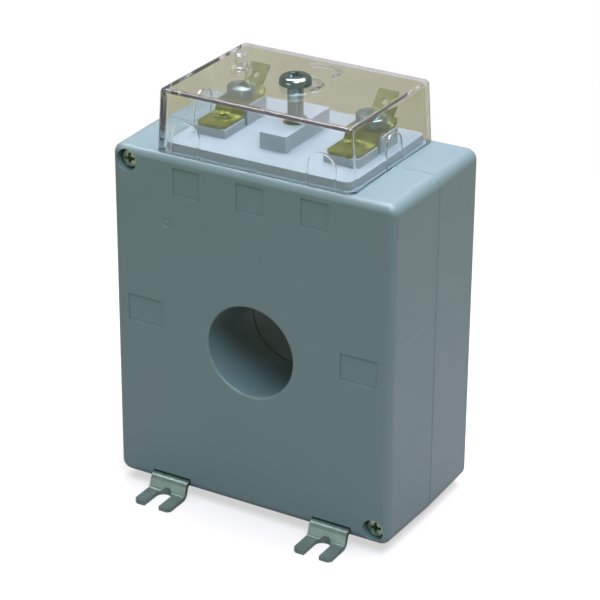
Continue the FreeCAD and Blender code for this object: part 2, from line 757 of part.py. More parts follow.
def terminal_strip(label, side):
    """A brass strip that steps up under the screw and ends in a raised tab."""
    body = new_body(label)
    profile = new_sketch(body, label + "_profile", "YZ_Plane")
    step_end = "strip_step_y + (high_seat - low_seat) / tan(strip_step_angle)"
    step_miter = "strip_thickness * tan(strip_step_angle / 2)"
    tab_miter = "strip_thickness * tan(tab_angle / 2)"
    tab_y = "strip_bend_y + tab_length * cos(tab_angle)"
    tab_z = "high_top + tab_length * sin(tab_angle)"
    draw_polygon(profile, [
        ("0 - strip_front", "low_top"),
        ("strip_step_y", "low_top"),
        (step_end, "high_top"),
        ("strip_bend_y", "high_top"),
        (tab_y, tab_z),
        ("%s - strip_thickness * sin(tab_angle)" % tab_y, "%s + strip_thickness * cos(tab_angle)" % tab_z),
        ("strip_bend_y - %s" % tab_miter, "high_top + strip_thickness"),
        ("%s - %s" % (step_end, step_miter), "high_top + strip_thickness"),
        ("strip_step_y - %s" % step_miter, "low_top + strip_thickness"),
        ("0 - strip_front", "low_top + strip_thickness"),
    ])
    pad(body, profile, "strip_width", both=True)
    holes = new_sketch(body, label + "_holes", "XY_Plane", out="strip_top + overrun")
    draw_circle(holes, "terminal_screw_radius + slide_gap", y="terminal_y")
    draw_circle(holes, "rivet_radius + fit_gap", y="0 - rivet_y")
    pocket(body, holes, "high_seat - low_seat + 2 * strip_thickness + overrun")
    # The tab is narrower than the strip on both sides
    for edge in ("-", "+"):
        word = "left" if edge == "-" else "right"
        trim = new_sketch(body, "%s_trim_%s" % (label, word), "XY_Plane", out="high_top + tab_length + overrun")
        width = "(strip_width - tab_width) / 2"
        start = "strip_bend_y + tab_shoulder"
        draw_rectangle(trim, "%s + overrun" % width, "tab_length",
                       x="0 %s ((tab_width + %s + overrun) / 2)" % (edge, width), y="%s + tab_length / 2" % start)
        pocket(body, trim, "tab_length + 2 * overrun")
    eye = new_sketch(body, label + "_eye", "XZ_Plane", out="0 - strip_bend_y - tab_hole_way * cos(tab_angle)",
                     up="high_top + tab_hole_way * sin(tab_angle)", tilt="%d - tab_angle" % QUARTER_TURN)
    draw_circle(eye, "tab_hole")
    pocket(body, eye, "4 * strip_thickness", both=True)
    front_end, half = -amount("strip_front"), amount("strip_width") / 2
    corners = edges_where(body.Shape, lambda edge: lies_at(edge, "y", front_end) and (
        lies_at(edge, "x", half) or lies_at(edge, "x", -half)))
    dress(body, "Chamfer", corners, "strip_corner")
    place(body, "0 %s terminal_x" % side)
    return body


def clamp_plate(label, side):
    body = new_body(label)
    plate = new_sketch(body, label + "_plate", "XY_Plane")
    draw_rounded(plate, "clamp_side", "clamp_side", "clamp_corner")
    draw_circle(plate, "terminal_screw_radius + slide_gap")
    pad(body, plate, "clamp_thickness")
    place(body, "0 %s terminal_x" % side, "terminal_y", "strip_top")
    return body


def terminal_nut(label, side):
    body = new_body(label)
    block = new_sketch(body, label + "_block", "XY_Plane")
    draw_rectangle(block, "nut_side", "nut_side")
    draw_circle(block, "terminal_screw_radius + fit_gap / 2")
    pad(body, block, "nut_height - fit_gap")
    place(body, "0 %s terminal_x" % side, "terminal_y", "high_top - nut_height")
    return body


def terminal_rivet(label, side):
    """A tubular brass rivet that holds the strip down and takes the lead's end."""
    body = new_body(label)
    crown = "strip_thickness + rivet_crown"
    revolve(body, label + "_section", [
        ("rivet_bore", "cover_base - low_top"),
        ("rivet_radius", "cover_base - low_top"),
        ("rivet_radius", "strip_thickness"),
        ("rivet_rim", "strip_thickness"),
        ("rivet_rim - rivet_round", crown),
        ("rivet_bore + rivet_round", crown),
        ("rivet_bore", "%s - rivet_round" % crown),
    ])
    place(body, "0 %s terminal_x" % side, "0 - rivet_y", "low_top")
    return body


# Core and coil, all on the window's axis

def ring_solid(name, outer, inner, width, y="0"):
    """A plain ring about the window's axis."""
    solids = []
    for part, radius, length in (("rim", outer, width), ("eye", inner, "%s + 2 * overrun" % width)):
        cylinder = doc.addObject("Part::Cylinder", name + "_" + part)
        bind(cylinder, "Radius", radius)
        bind(cylinder, "Height", length)
        cylinder.Placement.Rotation = FreeCAD.Rotation(FreeCAD.Vector(1, 0, 0), -QUARTER_TURN)
        bind(cylinder, "Placement.Base.y", "%s - (%s) / 2" % (y, length))
        bind(cylinder, "Placement.Base.z", "window_z")
        solids.append(cylinder)
    ring = doc.addObject("Part::Cut", name)
    ring.Base, ring.Tool = solids
    return ring


def ring_core():
    core = ring_solid("ring_core", "core_outer", "core_inner", "core_width")
    core.Label = "ring_core"
    return core


def core_cap(label, sign):
    """Half of the insulating box round the core: a ring-shaped tray."""
    half = "core_width / 2 + cap_wall + fit_gap"
    tray = ring_solid(label + "_tray", "core_outer + cap_wall + fit_gap", "core_inner - cap_wall - fit_gap",
                      half, y="0 %s (%s) / 2" % (sign, half))
    hollow = ring_solid(label + "_hollow", "core_outer + fit_gap", "core_inner - fit_gap",
                        "core_width / 2 + fit_gap + overrun",
                        y="0 %s (core_width / 2 + fit_gap - overrun) / 2" % sign)
    cap = doc.addObject("Part::Cut", label)
    cap.Base = tray
    cap.Tool = hollow
    cap.Label = label
    return cap


def secondary_winding():
    """The wire wound round the boxed core, with a bare sector at the top for the leads."""
    body = new_body("secondary_winding")
    section = new_sketch(body, "winding_section", "XY_Plane")
    side, bevel_side = "coil_width / 2", "coil_width / 2 - coil_edge"
    draw_polygon(section, [
        ("coil_inner", "0 - (%s)" % bevel_side),
        ("coil_inner + coil_edge", "0 - %s" % side),
        ("coil_outer - coil_edge", "0 - %s" % side),
        ("coil_outer", "0 - (%s)" % bevel_side),
        ("coil_outer", bevel_side),
        ("coil_outer - coil_edge", side),
        ("coil_inner + coil_edge", side),
        ("coil_inner", bevel_side),
    ])
    draw_rectangle(
        section,
        "coil_outer - coil_inner - 2 * coil_build",
        "coil_width - 2 * coil_build",
        x="(coil_outer + coil_inner) / 2",
    )
    turned = body.newObject("PartDesign::Revolution", "winding_turned")
    turned.Profile = section
    turned.ReferenceAxis = (section, ["V_Axis"])
    bind(turned, "Angle", "360 - coil_gap")
    doc.recompute()
    turn = FreeCAD.Rotation(FreeCAD.Vector(0, -1, 0), 1)
    body.Placement = FreeCAD.Placement(FreeCAD.Vector(), turn)
    bind(body, "Placement.Rotation.Angle", "%d - coil_gap / 2" % QUARTER_TURN)
    bind(body, "Placement.Base.z", "window_z")
    return body


def secondary_lead(label, side):
    """The insulated wire from the coil's end, up through the deck to the strip."""
    across = amount("0 %s lead_x" % side)
    far = amount("0 %s terminal_x" % side)
    start_z = amount("window_z + sqrt(coil_outer ^ 2 - (lead_x - lead_radius) ^ 2)")
    level = (start_z + amount("case_top - case_wall - flange_height")) / 2
    back = -amount("lead_y")
    route = [
        FreeCAD.Vector(across, 0, start_z),
        FreeCAD.Vector(across, 0, level),
        FreeCAD.Vector(far, back, level),
        FreeCAD.Vector(far, back, amount("low_top")),
    ]
    path = rounded_path(route, amount("lead_bend"))
    ring = Part.Wire([Part.makeCircle(amount("lead_radius"), route[0], FreeCAD.Vector(0, 0, 1))])
    lead = doc.addObject("Part::Feature", label)
    lead.Label = label
    lead.Shape = Part.Wire(path).makePipeShell([ring], True, False)
    lead.Placement = FreeCAD.Placement()
    return lead


def rounded_path(route, radius):
    """Straight runs joined by tangent arcs of one radius."""
    edges = []
    start = route[0]
    for before, corner, after in zip(route, route[1:], route[2:]):
        arriving = (corner - before).normalize()
        leaving = (after - corner).normalize()
        turn = arriving.getAngle(leaving)
        reach = radius * math.tan(turn / 2)
        enter, leave = corner - arriving * reach, corner + leaving * reach
        inward = (leaving - arriving).normalize()
        middle = corner + inward * (radius / math.cos(turn / 2) - radius)
        edges.append(Part.makeLine(start, enter))
        edges.append(Part.Arc(enter, middle, leave).toShape())
        start = leave
    edges.append(Part.makeLine(start, route[-1]))
    return edges


def case_screw(label, side, level):
    screw = pan_screw(label, "screw_radius", "screw_length", "screw_head_radius", "screw_head_height",
                      "screw_head_height / 2")
    place(screw, "0 %s screw_x" % side, "head_seat - half_depth", "case_mid %s screw_dz" % level)
    screw.Placement.Rotation = FreeCAD.Rotation(FreeCAD.Vector(1, 0, 0), QUARTER_TURN)
    return screw


def build_all():
    parts = [case_shell("front_shell", True), case_shell("rear_shell", False)]
    for label, (side, level) in zip(("case_screw_upper", "case_screw_lower"), screw_corners()):
        parts.append(case_screw(label, side, level))
    for side, word in (("-", "left"), ("+", "right")):
        parts.append(foot("foot_front_" + word, side, False))
        parts.append(foot("foot_rear_" + word, side, True))
    parts += [terminal_deck(), terminal_cover(), sealing_insert()]
    seal = pan_screw("sealing_screw", "seal_radius", "seal_length", "seal_head_radius", "seal_head_height",
                     "seal_head_round")
    place(seal, z="cover_top")
    parts.append(seal)
    for side, word in (("-", "left"), ("+", "right")):
        parts.append(terminal_strip("terminal_strip_" + word, side))
        parts.append(terminal_rivet("terminal_rivet_" + word, side))
        parts.append(clamp_plate("clamp_plate_" + word, side))
        parts.append(terminal_nut("terminal_nut_" + word, side))
        screw = pan_screw("terminal_screw_" + word, "terminal_screw_radius", "terminal_screw_length",
                          "terminal_head_radius", "terminal_head_height", "terminal_head_round")
        place(screw, "0 %s terminal_x" % side, "terminal_y", "screw_seat")
        parts.append(screw)
        parts.append(secondary_lead("secondary_lead_" + word, side))
    parts += [ring_core(), core_cap("core_cap_front", "-"), core_cap("core_cap_rear", "+"), secondary_winding()]
    doc.recompute()
    return parts


def check_model(parts):
    for thing in doc.Objects:
        if "Invalid" in thing.State or "Error" in thing.State:
            raise RuntimeError("%s did not build: %s" % (thing.Name, thing.State))
    for thing in parts:
        if thing.Shape.isNull() or not thing.Shape.isValid() or not thing.Shape.Solids:
            raise RuntimeError("%s has no sound solid" % thing.Label)
        before = None
        for feature in getattr(thing, "Group", []):
            if feature.TypeId == "Sketcher::SketchObject" or feature.Shape.isNull():
                continue
            volume = feature.Shape.Volume
            if feature.TypeId == "PartDesign::Pocket" and before is not None and volume >= before:
                raise RuntimeError("%s cuts nothing" % feature.Name)
            before = volume


def write_parts(parts):
    os.makedirs("parts", exist_ok=True)
    for thing in parts:
        thing.Shape.exportStep("parts/%s.step" % thing.Label)


sub_parts = build_all()
check_model(sub_parts)
write_parts(sub_parts)
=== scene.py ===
import json
import math

import bmesh
import bpy
from mathutils import Matrix, Vector


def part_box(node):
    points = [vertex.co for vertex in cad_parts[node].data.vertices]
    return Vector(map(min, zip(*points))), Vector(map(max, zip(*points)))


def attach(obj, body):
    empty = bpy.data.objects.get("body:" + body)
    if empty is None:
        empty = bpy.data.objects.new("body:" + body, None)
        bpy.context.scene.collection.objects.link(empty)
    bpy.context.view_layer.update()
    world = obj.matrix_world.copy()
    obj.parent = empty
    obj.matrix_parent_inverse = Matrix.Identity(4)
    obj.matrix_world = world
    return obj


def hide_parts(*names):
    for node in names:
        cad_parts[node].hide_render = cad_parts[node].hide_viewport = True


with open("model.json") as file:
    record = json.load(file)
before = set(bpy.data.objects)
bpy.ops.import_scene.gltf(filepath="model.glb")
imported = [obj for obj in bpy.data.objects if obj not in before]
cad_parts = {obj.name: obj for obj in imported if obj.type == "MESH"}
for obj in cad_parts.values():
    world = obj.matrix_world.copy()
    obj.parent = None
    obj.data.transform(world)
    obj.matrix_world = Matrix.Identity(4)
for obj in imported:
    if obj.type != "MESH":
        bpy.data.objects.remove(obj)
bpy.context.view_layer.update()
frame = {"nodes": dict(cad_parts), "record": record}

MM = 0.001
NODES = frame["nodes"]

# Camera, fitted to the straight edges and the outline of the case and the cover; angles in radians
CAMERA_PLACE = Vector((277.0884, -474.8298, 313.3242)) * MM
CAMERA_YAW = 0.5257
CAMERA_PITCH = -0.4449
CAMERA_ROLL = 0.0065
FOCAL_PIXELS = 2443.99
FRAME_PIXELS = 600
SENSOR_MM = 36

# Moulded plastic; lengths are in metres from here on
GRAIN_DETAIL = 2.0
FLOW_CLOUDS = {"scale": 42.0, "detail": 5.0}
GLOSS_PATCHES = {"scale": 130.0, "detail": 4.0}
PLASTIC_GRAIN_SIZE = 0.0003
PLASTIC_GRAIN_DEPTH = 0.000012
PLASTIC_CLOUDING = 0.08
# Edges get a lighter colour, a painted highlight; these set its width and amount
PLASTIC_EDGE_WIDTH = 0.0005
PLASTIC_EDGE_HIGHLIGHT = 0.35
EDGE_TURN = (0.02, 0.25)
CASE_GREY = (0.150, 0.230, 0.243, 1)
# Each second grey is lighter and goes on the edges: a painted highlight
CASE_GREY_EDGE_HIGHLIGHT = (0.22, 0.30, 0.315, 1)
DECK_GREY = (0.170, 0.228, 0.250, 1)
DECK_GREY_EDGE_HIGHLIGHT = (0.24, 0.32, 0.35, 1)

# Marks on the case: a rubbed streak on its right side and a nick on its front
STREAK = {
    "Centre": (0.0395, -0.0100, 0.0554), "Flatten": (1, 0.14, 1), "Radius": 0.0, "Width": 0.0011,
}
STREAK_GREY = (0.24, 0.34, 0.33, 1)
STREAK_SHARE = 0.30
NICK = {
    "Centre": (-0.0237, -0.02145, 0.0749), "Flatten": (1, 1, 1), "Radius": 0.0008, "Width": 0.0008,
}
NICK_DEPTH = 0.00018

# The clear cover. Its index is lower than real polycarbonate's, which turned its edges black.
COVER_TINT = (0.93, 0.94, 0.93, 1)
COVER_INDEX = 1.20
COVER_TRANSMISSION = 0.99
COVER_COAT = 0.6
COVER_COAT_ROUGHNESS = 0.06
COVER_GRAIN_DEPTH = 0.000004
COVER_SHADOW_TINT = (0.88, 0.88, 0.88, 1)
HOOK = {
    "Centre": (0.0004, 0.0102, 0.1086), "Flatten": (1, 1, 0), "Radius": 0.0050, "Width": 0.0011,
    "Towards": (0.45, 0.89, 0), "From": 0.15,
}
SEAT = {
    "Centre": (0, 0, 0.1086), "Flatten": (1, 1, 0), "Radius": 0.0058, "Width": 0.0014,
    "Towards": (0.80, 0.60, 0), "From": 0.55,
}
HOOK_RISE = 0.00045
SEAT_RISE = 0.00050
MARK_SIDE_FADE = 0.25

# Drawn and plated metal
DRAWING_LINES = {"scale": 900.0, "detail": 3.0}
TONE_CLOUDS = {"scale": 260.0, "detail": 4.0}
TONE_RANGE = (0.35, 0.65)
LINE_GLOSS = 0.25

# The winding, whose turns run round the window's centre
WINDOW_CENTRE = (0, 0, 0.0457)
HALF_TURNS = 90.0
TURN_HEIGHT = 0.0004

# Screws. Shares are of the head's radius, the head's height, the pitch or the recess's depth.
THREAD_DEPTH_SHARE = 0.64
THREAD_SIDES = 40
ROWS_PER_PITCH = 8
TIP_SHARE = 0.72
TIP_GROWTH = 0.28
CREST_SLOPE = 1.6
CREST_DROP = 0.2
NECK_TOP = -0.02 * MM
EDGE_STEPS = 8
DOME_STEPS = 7
DOME_SHARE = 0.08
RECESS_REACH = 0.56
RECESS_ARM = 0.13
RECESS_DEPTH = 0.72
RECESS_CORNER = 1.5
RECESS_FLOOR = 0.45
RECESS_MOUTH = 1.08
RECESS_OVERSHOOT = 0.2
SMOOTH_DEGREES = 32

# Node, slot, then in mm the shank's radius, the head's height, its edge rounding, the plain neck
# and the pitch, and last the axis
SCREWS = (
    ("sealing_screw", "zinc_steel", 2.0, 2.35, 1.3, 4.7, 0.7, "Z"),
    ("terminal_screw_left", "zinc_steel", 2.0, 2.4, 0.5, 1.0, 0.7, "Z"),
    ("terminal_screw_right", "zinc_steel", 2.0, 2.4, 0.5, 1.0, 0.7, "Z"),
    ("case_screw_upper", "yellow_zinc", 1.5, 2.0, 0.7, 18, 1.0, "Y"),
    ("case_screw_lower", "yellow_zinc", 1.5, 2.0, 0.7, 18, 1.0, "Y"),
)

# Studio. Colours with three numbers are lamp colours, the rest are what a ray meets.
LAMP_AIM = (0, 0, 0.05)
LAMPS = (  # name, place, width, height, watts, colour
    ("top_box", (0.06, 0.14, 0.70), 0.85, 0.55, 10.6, (1.0, 0.87, 1.0)),
    ("edge_box", (-0.52, 0.0, 1.0), 0.3, 0.25, 3.0, (1.0, 0.94, 1.0)),
    ("high_front_box", (0.42, -0.50, 1.0), 0.5, 0.45, 7.8, (0.74, 0.86, 1.0)),
    ("right_box", (1.0, -0.1, 0.4), 0.6, 0.6, 0.3, (1.0, 0.70, 0.0)),
    ("low_front_box", (-0.4, -1.2, 0.15), 0.6, 0.3, 1.2, (1.0, 0.98, 0.95)),
)
ROOM_TONE = (0.60, 0.585, 0.47, 1)
ROOM_TONE_RIGHT = (0.44, 0.42, 0.27, 1)
ROOM_TONE_CHANGE = (-0.36, -0.12)
MIRRORED_LEVEL = 0.38
MIRRORED_GREEN, MIRRORED_BLUE = 0.97, 0.80
LIT_BY_WORLD = 0.15
LIT_BY_FLOOR = 0.44
LIT_GREEN, LIT_BLUE = 0.96, 0.62
WHITE = (1, 1, 1, 1)
FLOOR_RADIUS = 3.0
FLOOR_SIDES = 96
FLOOR_ROUGHNESS = 0.9
FLOOR_SHADE = 0.32
FLOOR_LIFT = 0.60
SHADOW_FADE = (0.08, 0.24)


def photo_camera():
    data = bpy.data.cameras.new("photo_camera")
    data.sensor_width = SENSOR_MM
    data.lens = FOCAL_PIXELS / FRAME_PIXELS * SENSOR_MM
    camera = bpy.data.objects.new("photo_camera", data)
    camera.matrix_world = (
        Matrix.Translation(CAMERA_PLACE)
        @ Matrix.Rotation(CAMERA_YAW, 4, "Z")
        @ Matrix.Rotation(math.pi / 2 + CAMERA_PITCH, 4, "X")
        @ Matrix.Rotation(CAMERA_ROLL, 4, "Z")
    )
    bpy.context.scene.collection.objects.link(camera)
    bpy.context.scene.camera = camera
    bpy.context.scene.view_settings.view_transform = "Standard"


# Laying out nodes

def put(tree, kind, inputs=None, **settings):
    """A node with its settings, each input given a value or joined to another node's output."""
    node = tree.nodes.new(kind)
    for name, value in settings.items():
        setattr(node, name, value)
    for name, value in (inputs or {}).items():
        socket = node.inputs[name]
        if isinstance(value, bpy.types.NodeSocket):
            tree.links.new(value, socket)
        else:
            socket.default_value = value
    return node


def calc(tree, operation, first, second=0.0, third=0.0):
    inputs = {0: first, 1: second, 2: third}
    return put(tree, "ShaderNodeMath", inputs, operation=operation).outputs[0]


def calc_vector(tree, operation, *values):
    return put(tree, "ShaderNodeVectorMath", dict(enumerate(values)), operation=operation).outputs


def blend_colours(tree, share, first, second, blend_type="MIX"):
    inputs = {0: share, 6: first, 7: second}
    node = put(tree, "ShaderNodeMix", inputs, data_type="RGBA", blend_type=blend_type)
    return node.outputs[2]


def noise(tree, place, scale, detail):
    inputs = {"Vector": place, "Scale": scale, "Detail": detail}
    return put(tree, "ShaderNodeTexNoise", inputs).outputs["Fac"]


def spread(tree, value, low, high):
    """0 up to the low value, 1 from the high one on, and a straight rise between them."""
    inputs = {"Value": value, "From Min": low, "From Max": high, "To Min": 0.0, "To Max": 1.0}
    return put(tree, "ShaderNodeMapRange", inputs).outputs[0]


def new_group(name, inputs, outputs):
    """An empty node group with named sockets, and its input and output nodes."""
    group = bpy.data.node_groups.new(name, "ShaderNodeTree")
    for title, kind, value in inputs:
        kind = "NodeSocket" + kind
        socket = group.interface.new_socket(title, in_out="INPUT", socket_type=kind)
        socket.default_value = value
    for title, kind in outputs:
        group.interface.new_socket(title, in_out="OUTPUT", socket_type="NodeSocket" + kind)
    given = group.nodes.new("NodeGroupInput").outputs
    wires = group.nodes.new("NodeGroupOutput").inputs
    return group, given, wires


def finish_group(group, wires, results):
    for title, output in results.items():
        group.links.new(output, wires[title])
    return group


# Effects that several materials share

def moulded_surface():
    """Plastic as it leaves the mould: a fine grain, faint flow clouds and uneven gloss."""
    group, given, wires = new_group(
        "moulded_surface",
        [("Colour", "Color", (0.5, 0.5, 0.5, 1)), ("Clouding", "Float", 0.06),
         ("Grain Size", "Float", PLASTIC_GRAIN_SIZE), ("Roughness", "Float", 0.4),
         ("Unevenness", "Float", 0.12)],
        [("Colour", "Color"), ("Roughness", "Float"), ("Grain", "Float")],
    )
    place = put(group, "ShaderNodeTexCoord").outputs["Object"]
    grain = noise(group, place, calc(group, "DIVIDE", 1.0, given["Grain Size"]), GRAIN_DETAIL)
    clouds = calc(group, "SUBTRACT", noise(group, place, **FLOW_CLOUDS), 0.5)
    shade = calc(group, "MULTIPLY_ADD", clouds, given["Clouding"], 1.0)
    shades = put(group, "ShaderNodeCombineColor", {0: shade, 1: shade, 2: shade}).outputs[0]
    colour = blend_colours(group, 1.0, given["Colour"], shades, "MULTIPLY")
    patches = calc(group, "SUBTRACT", noise(group, place, **GLOSS_PATCHES), 0.5)
    rough = calc(group, "MULTIPLY_ADD", patches, given["Unevenness"], given["Roughness"])
    return finish_group(group, wires, {"Colour": colour, "Roughness": rough, "Grain": grain})


def drawn_metal():
    """Plated or rolled metal: fine drawing lines, a second tone in clouds, and uneven gloss."""
    group, given, wires = new_group(
        "drawn_metal",
        [("Colour", "Color", (0.5, 0.5, 0.5, 1)), ("Second Tone", "Color", (0.4, 0.4, 0.4, 1)),
         ("Line Stretch", "Vector", (1, 1, 1)), ("Roughness", "Float", 0.3),
         ("Toning", "Float", 0.5)],
        [("Colour", "Color"), ("Roughness", "Float"), ("Lines", "Float")],
    )
    place = put(group, "ShaderNodeTexCoord").outputs["Object"]
    stretched = calc_vector(group, "MULTIPLY", place, given["Line Stretch"])[0]
    lines = noise(group, stretched, **DRAWING_LINES)
    clouds = spread(group, noise(group, place, **TONE_CLOUDS), *TONE_RANGE)
    toned = calc(group, "MULTIPLY", clouds, given["Toning"])
    colour = blend_colours(group, toned, given["Colour"], given["Second Tone"])
    ridges = calc(group, "SUBTRACT", lines, 0.5)
    rough = calc(group, "MULTIPLY_ADD", ridges, LINE_GLOSS, given["Roughness"])
    return finish_group(group, wires, {"Colour": colour, "Roughness": rough, "Lines": lines})


def edge_highlight():
    """A mask of the edges, inner and outer, that lightens their colour a little: a painted
    highlight.
    """
    group, given, wires = new_group(
        "edge_highlight",
        [("Width", "Float", 0.0004), ("Amount", "Float", 0.5)],
        [("Edges", "Float")],
    )
    eased = put(group, "ShaderNodeBevel", {"Radius": given["Width"]}, samples=4).outputs[0]
    true_normal = put(group, "ShaderNodeNewGeometry").outputs["Normal"]
    alike = calc_vector(group, "DOT_PRODUCT", eased, true_normal)["Value"]
    mask = spread(group, calc(group, "SUBTRACT", 1.0, alike), *EDGE_TURN)
    return finish_group(group, wires, {"Edges": calc(group, "MULTIPLY", mask, given["Amount"])})


def round_mark():
    """A thin ring or a round dent about a centre, whole or only on the side Towards points to."""
    group, given, wires = new_group(
        "round_mark",
        [("Centre", "Vector", (0, 0, 0)), ("Flatten", "Vector", (1, 1, 1)),
         ("Radius", "Float", 0.005), ("Width", "Float", 0.001),
         ("Towards", "Vector", (0, 1, 0)), ("From", "Float", -1.5)],
        [("Mark", "Float")],
    )
    place = put(group, "ShaderNodeTexCoord").outputs["Object"]
    away = calc_vector(group, "SUBTRACT", place, given["Centre"])[0]
    away = calc_vector(group, "MULTIPLY", away, given["Flatten"])[0]
    reach = calc_vector(group, "LENGTH", away)["Value"]
    off_ring = calc(group, "ABSOLUTE", calc(group, "SUBTRACT", reach, given["Radius"]))
    off_ring = calc(group, "DIVIDE", off_ring, given["Width"])
    ridge = put(group, "ShaderNodeMapRange", {"Value": off_ring, "To Min": 1.0, "To Max": 0.0},
                interpolation_type="SMOOTHSTEP").outputs[0]
    way = calc_vector(group, "NORMALIZE", away)[0]
    turned = calc_vector(group, "DOT_PRODUCT", way, given["Towards"])["Value"]
    side = spread(group, calc(group, "SUBTRACT", turned, given["From"]), 0.0, MARK_SIDE_FADE)
    return finish_group(group, wires, {"Mark": calc(group, "MULTIPLY", ridge, side)})


GROUPS = {
    "moulded": moulded_surface(),
    "metal": drawn_metal(),
    "edges": edge_highlight(),
    "mark": round_mark(),
}


def use_group(tree, name, inputs):
    node = put(tree, "ShaderNodeGroup", node_tree=GROUPS[name])
    for title, value in inputs.items():
        node.inputs[title].default_value = value
    return node.outputs


# Materials

def new_material(name):
    material = bpy.data.materials.new(name)
    material.use_nodes = True
    tree = material.node_tree
    tree.nodes.clear()
    shader = put(tree, "ShaderNodeBsdfPrincipled")
    out = put(tree, "ShaderNodeOutputMaterial", {"Surface": shader.outputs[0]})
    return material, tree, shader, out


def join(tree, output, shader, title):
    tree.links.new(output, shader.inputs[title])


def raise_grain(tree, shader, height, distance):
    bump = put(tree, "ShaderNodeBump", {"Height": height, "Distance": distance, "Strength": 1.0})
    join(tree, bump.outputs[0], shader, "Normal")


# Plastic whose edges take a lighter colour, a painted highlight
def plastic(name, colour, edge_highlight_colour, roughness):
    material, tree, shader, _ = new_material(name)
    surface = use_group(tree, "moulded", {
        "Colour": colour, "Clouding": PLASTIC_CLOUDING, "Grain Size": PLASTIC_GRAIN_SIZE,
        "Roughness": roughness,
    })
    edges = use_group(tree, "edges", {
        "Width": PLASTIC_EDGE_WIDTH, "Amount": PLASTIC_EDGE_HIGHLIGHT,
    })["Edges"]
    join(tree, blend_colours(tree, edges, surface["Colour"], edge_highlight_colour), shader, "Base Color")
    join(tree, surface["Roughness"], shader, "Roughness")
    raise_grain(tree, shader, surface["Grain"], PLASTIC_GRAIN_DEPTH)
    return material


def metal(name, colour, second, roughness, stretch=(1, 1, 1), toning=0.5, line_depth=0.000006,
          bareness=1.0):
    material, tree, shader, _ = new_material(name)
    shader.inputs["Metallic"].default_value = bareness
    surface = use_group(tree, "metal", {
        "Colour": colour, "Second Tone": second, "Line Stretch": stretch,
        "Roughness": roughness, "Toning": toning,
    })
    join(tree, surface["Colour"], shader, "Base Color")
    join(tree, surface["Roughness"], shader, "Roughness")
    raise_grain(tree, shader, surface["Lines"], line_depth)
    return material


def case_polymer():
    """The case's plastic with its two marks."""
    material = plastic("case_plastic", CASE_GREY, CASE_GREY_EDGE_HIGHLIGHT, 0.36)
    tree = material.node_tree
    shader = tree.nodes["Principled BSDF"]
    streak = calc(tree, "MULTIPLY", use_group(tree, "mark", STREAK)["Mark"], STREAK_SHARE)
    plain = shader.inputs["Base Color"].links[0].from_socket
    join(tree, blend_colours(tree, streak, plain, STREAK_GREY), shader, "Base Color")
    nick = calc(tree, "MULTIPLY", use_group(tree, "mark", NICK)["Mark"], -NICK_DEPTH)
    bump = shader.inputs["Normal"].links[0].from_node
    grain = bump.inputs["Height"].links[0].from_socket
    height = calc(tree, "MULTIPLY_ADD", grain, PLASTIC_GRAIN_DEPTH, nick)
    raise_grain(tree, shader, height, 1.0)
    tree.nodes.remove(bump)
    return material


def clear_polycarbonate():
    """Clear moulded plastic that lets shadow rays through, so that what it covers stays lit."""
    material, tree, shader, out = new_material("clear_polycarbonate")
    shader.inputs["Transmission Weight"].default_value = COVER_TRANSMISSION
    shader.inputs["IOR"].default_value = COVER_INDEX
    shader.inputs["Coat Weight"].default_value = COVER_COAT
    shader.inputs["Coat Roughness"].default_value = COVER_COAT_ROUGHNESS
    surface = use_group(tree, "moulded", {
        "Colour": COVER_TINT, "Clouding": 0.02, "Grain Size": 0.0012, "Roughness": 0.05,
        "Unevenness": 0.03,
    })
    join(tree, surface["Colour"], shader, "Base Color")
    join(tree, surface["Roughness"], shader, "Roughness")
    hook = calc(tree, "MULTIPLY", use_group(tree, "mark", HOOK)["Mark"], HOOK_RISE)
    height = calc(tree, "MULTIPLY_ADD", surface["Grain"], COVER_GRAIN_DEPTH, hook)
    height = calc(tree, "MULTIPLY_ADD", use_group(tree, "mark", SEAT)["Mark"], SEAT_RISE, height)
    raise_grain(tree, shader, height, 1.0)
    clear = put(tree, "ShaderNodeBsdfTransparent", {"Color": COVER_SHADOW_TINT})
    is_shadow = put(tree, "ShaderNodeLightPath").outputs["Is Shadow Ray"]
    inputs = {0: is_shadow, 1: shader.outputs[0], 2: clear.outputs[0]}
    mixed = put(tree, "ShaderNodeMixShader", inputs)
    tree.links.new(mixed.outputs[0], out.inputs["Surface"])
    return material


def wound_copper():
    """Enamelled copper, with a ridge for each turn of the winding."""
    material = metal("enamelled_copper", (0.62, 0.25, 0.10, 1), (0.45, 0.16, 0.06, 1), 0.28)
    tree = material.node_tree
    shader = tree.nodes["Principled BSDF"]
    place = put(tree, "ShaderNodeTexCoord").outputs["Object"]
    away = calc_vector(tree, "SUBTRACT", place, WINDOW_CENTRE)[0]
    parts = put(tree, "ShaderNodeSeparateXYZ", {0: away}).outputs
    angle = calc(tree, "ARCTAN2", parts["Z"], parts["X"])
    turns = calc(tree, "ABSOLUTE", calc(tree, "SINE", calc(tree, "MULTIPLY", angle, HALF_TURNS)))
    raise_grain(tree, shader, turns, TURN_HEIGHT)
    return material


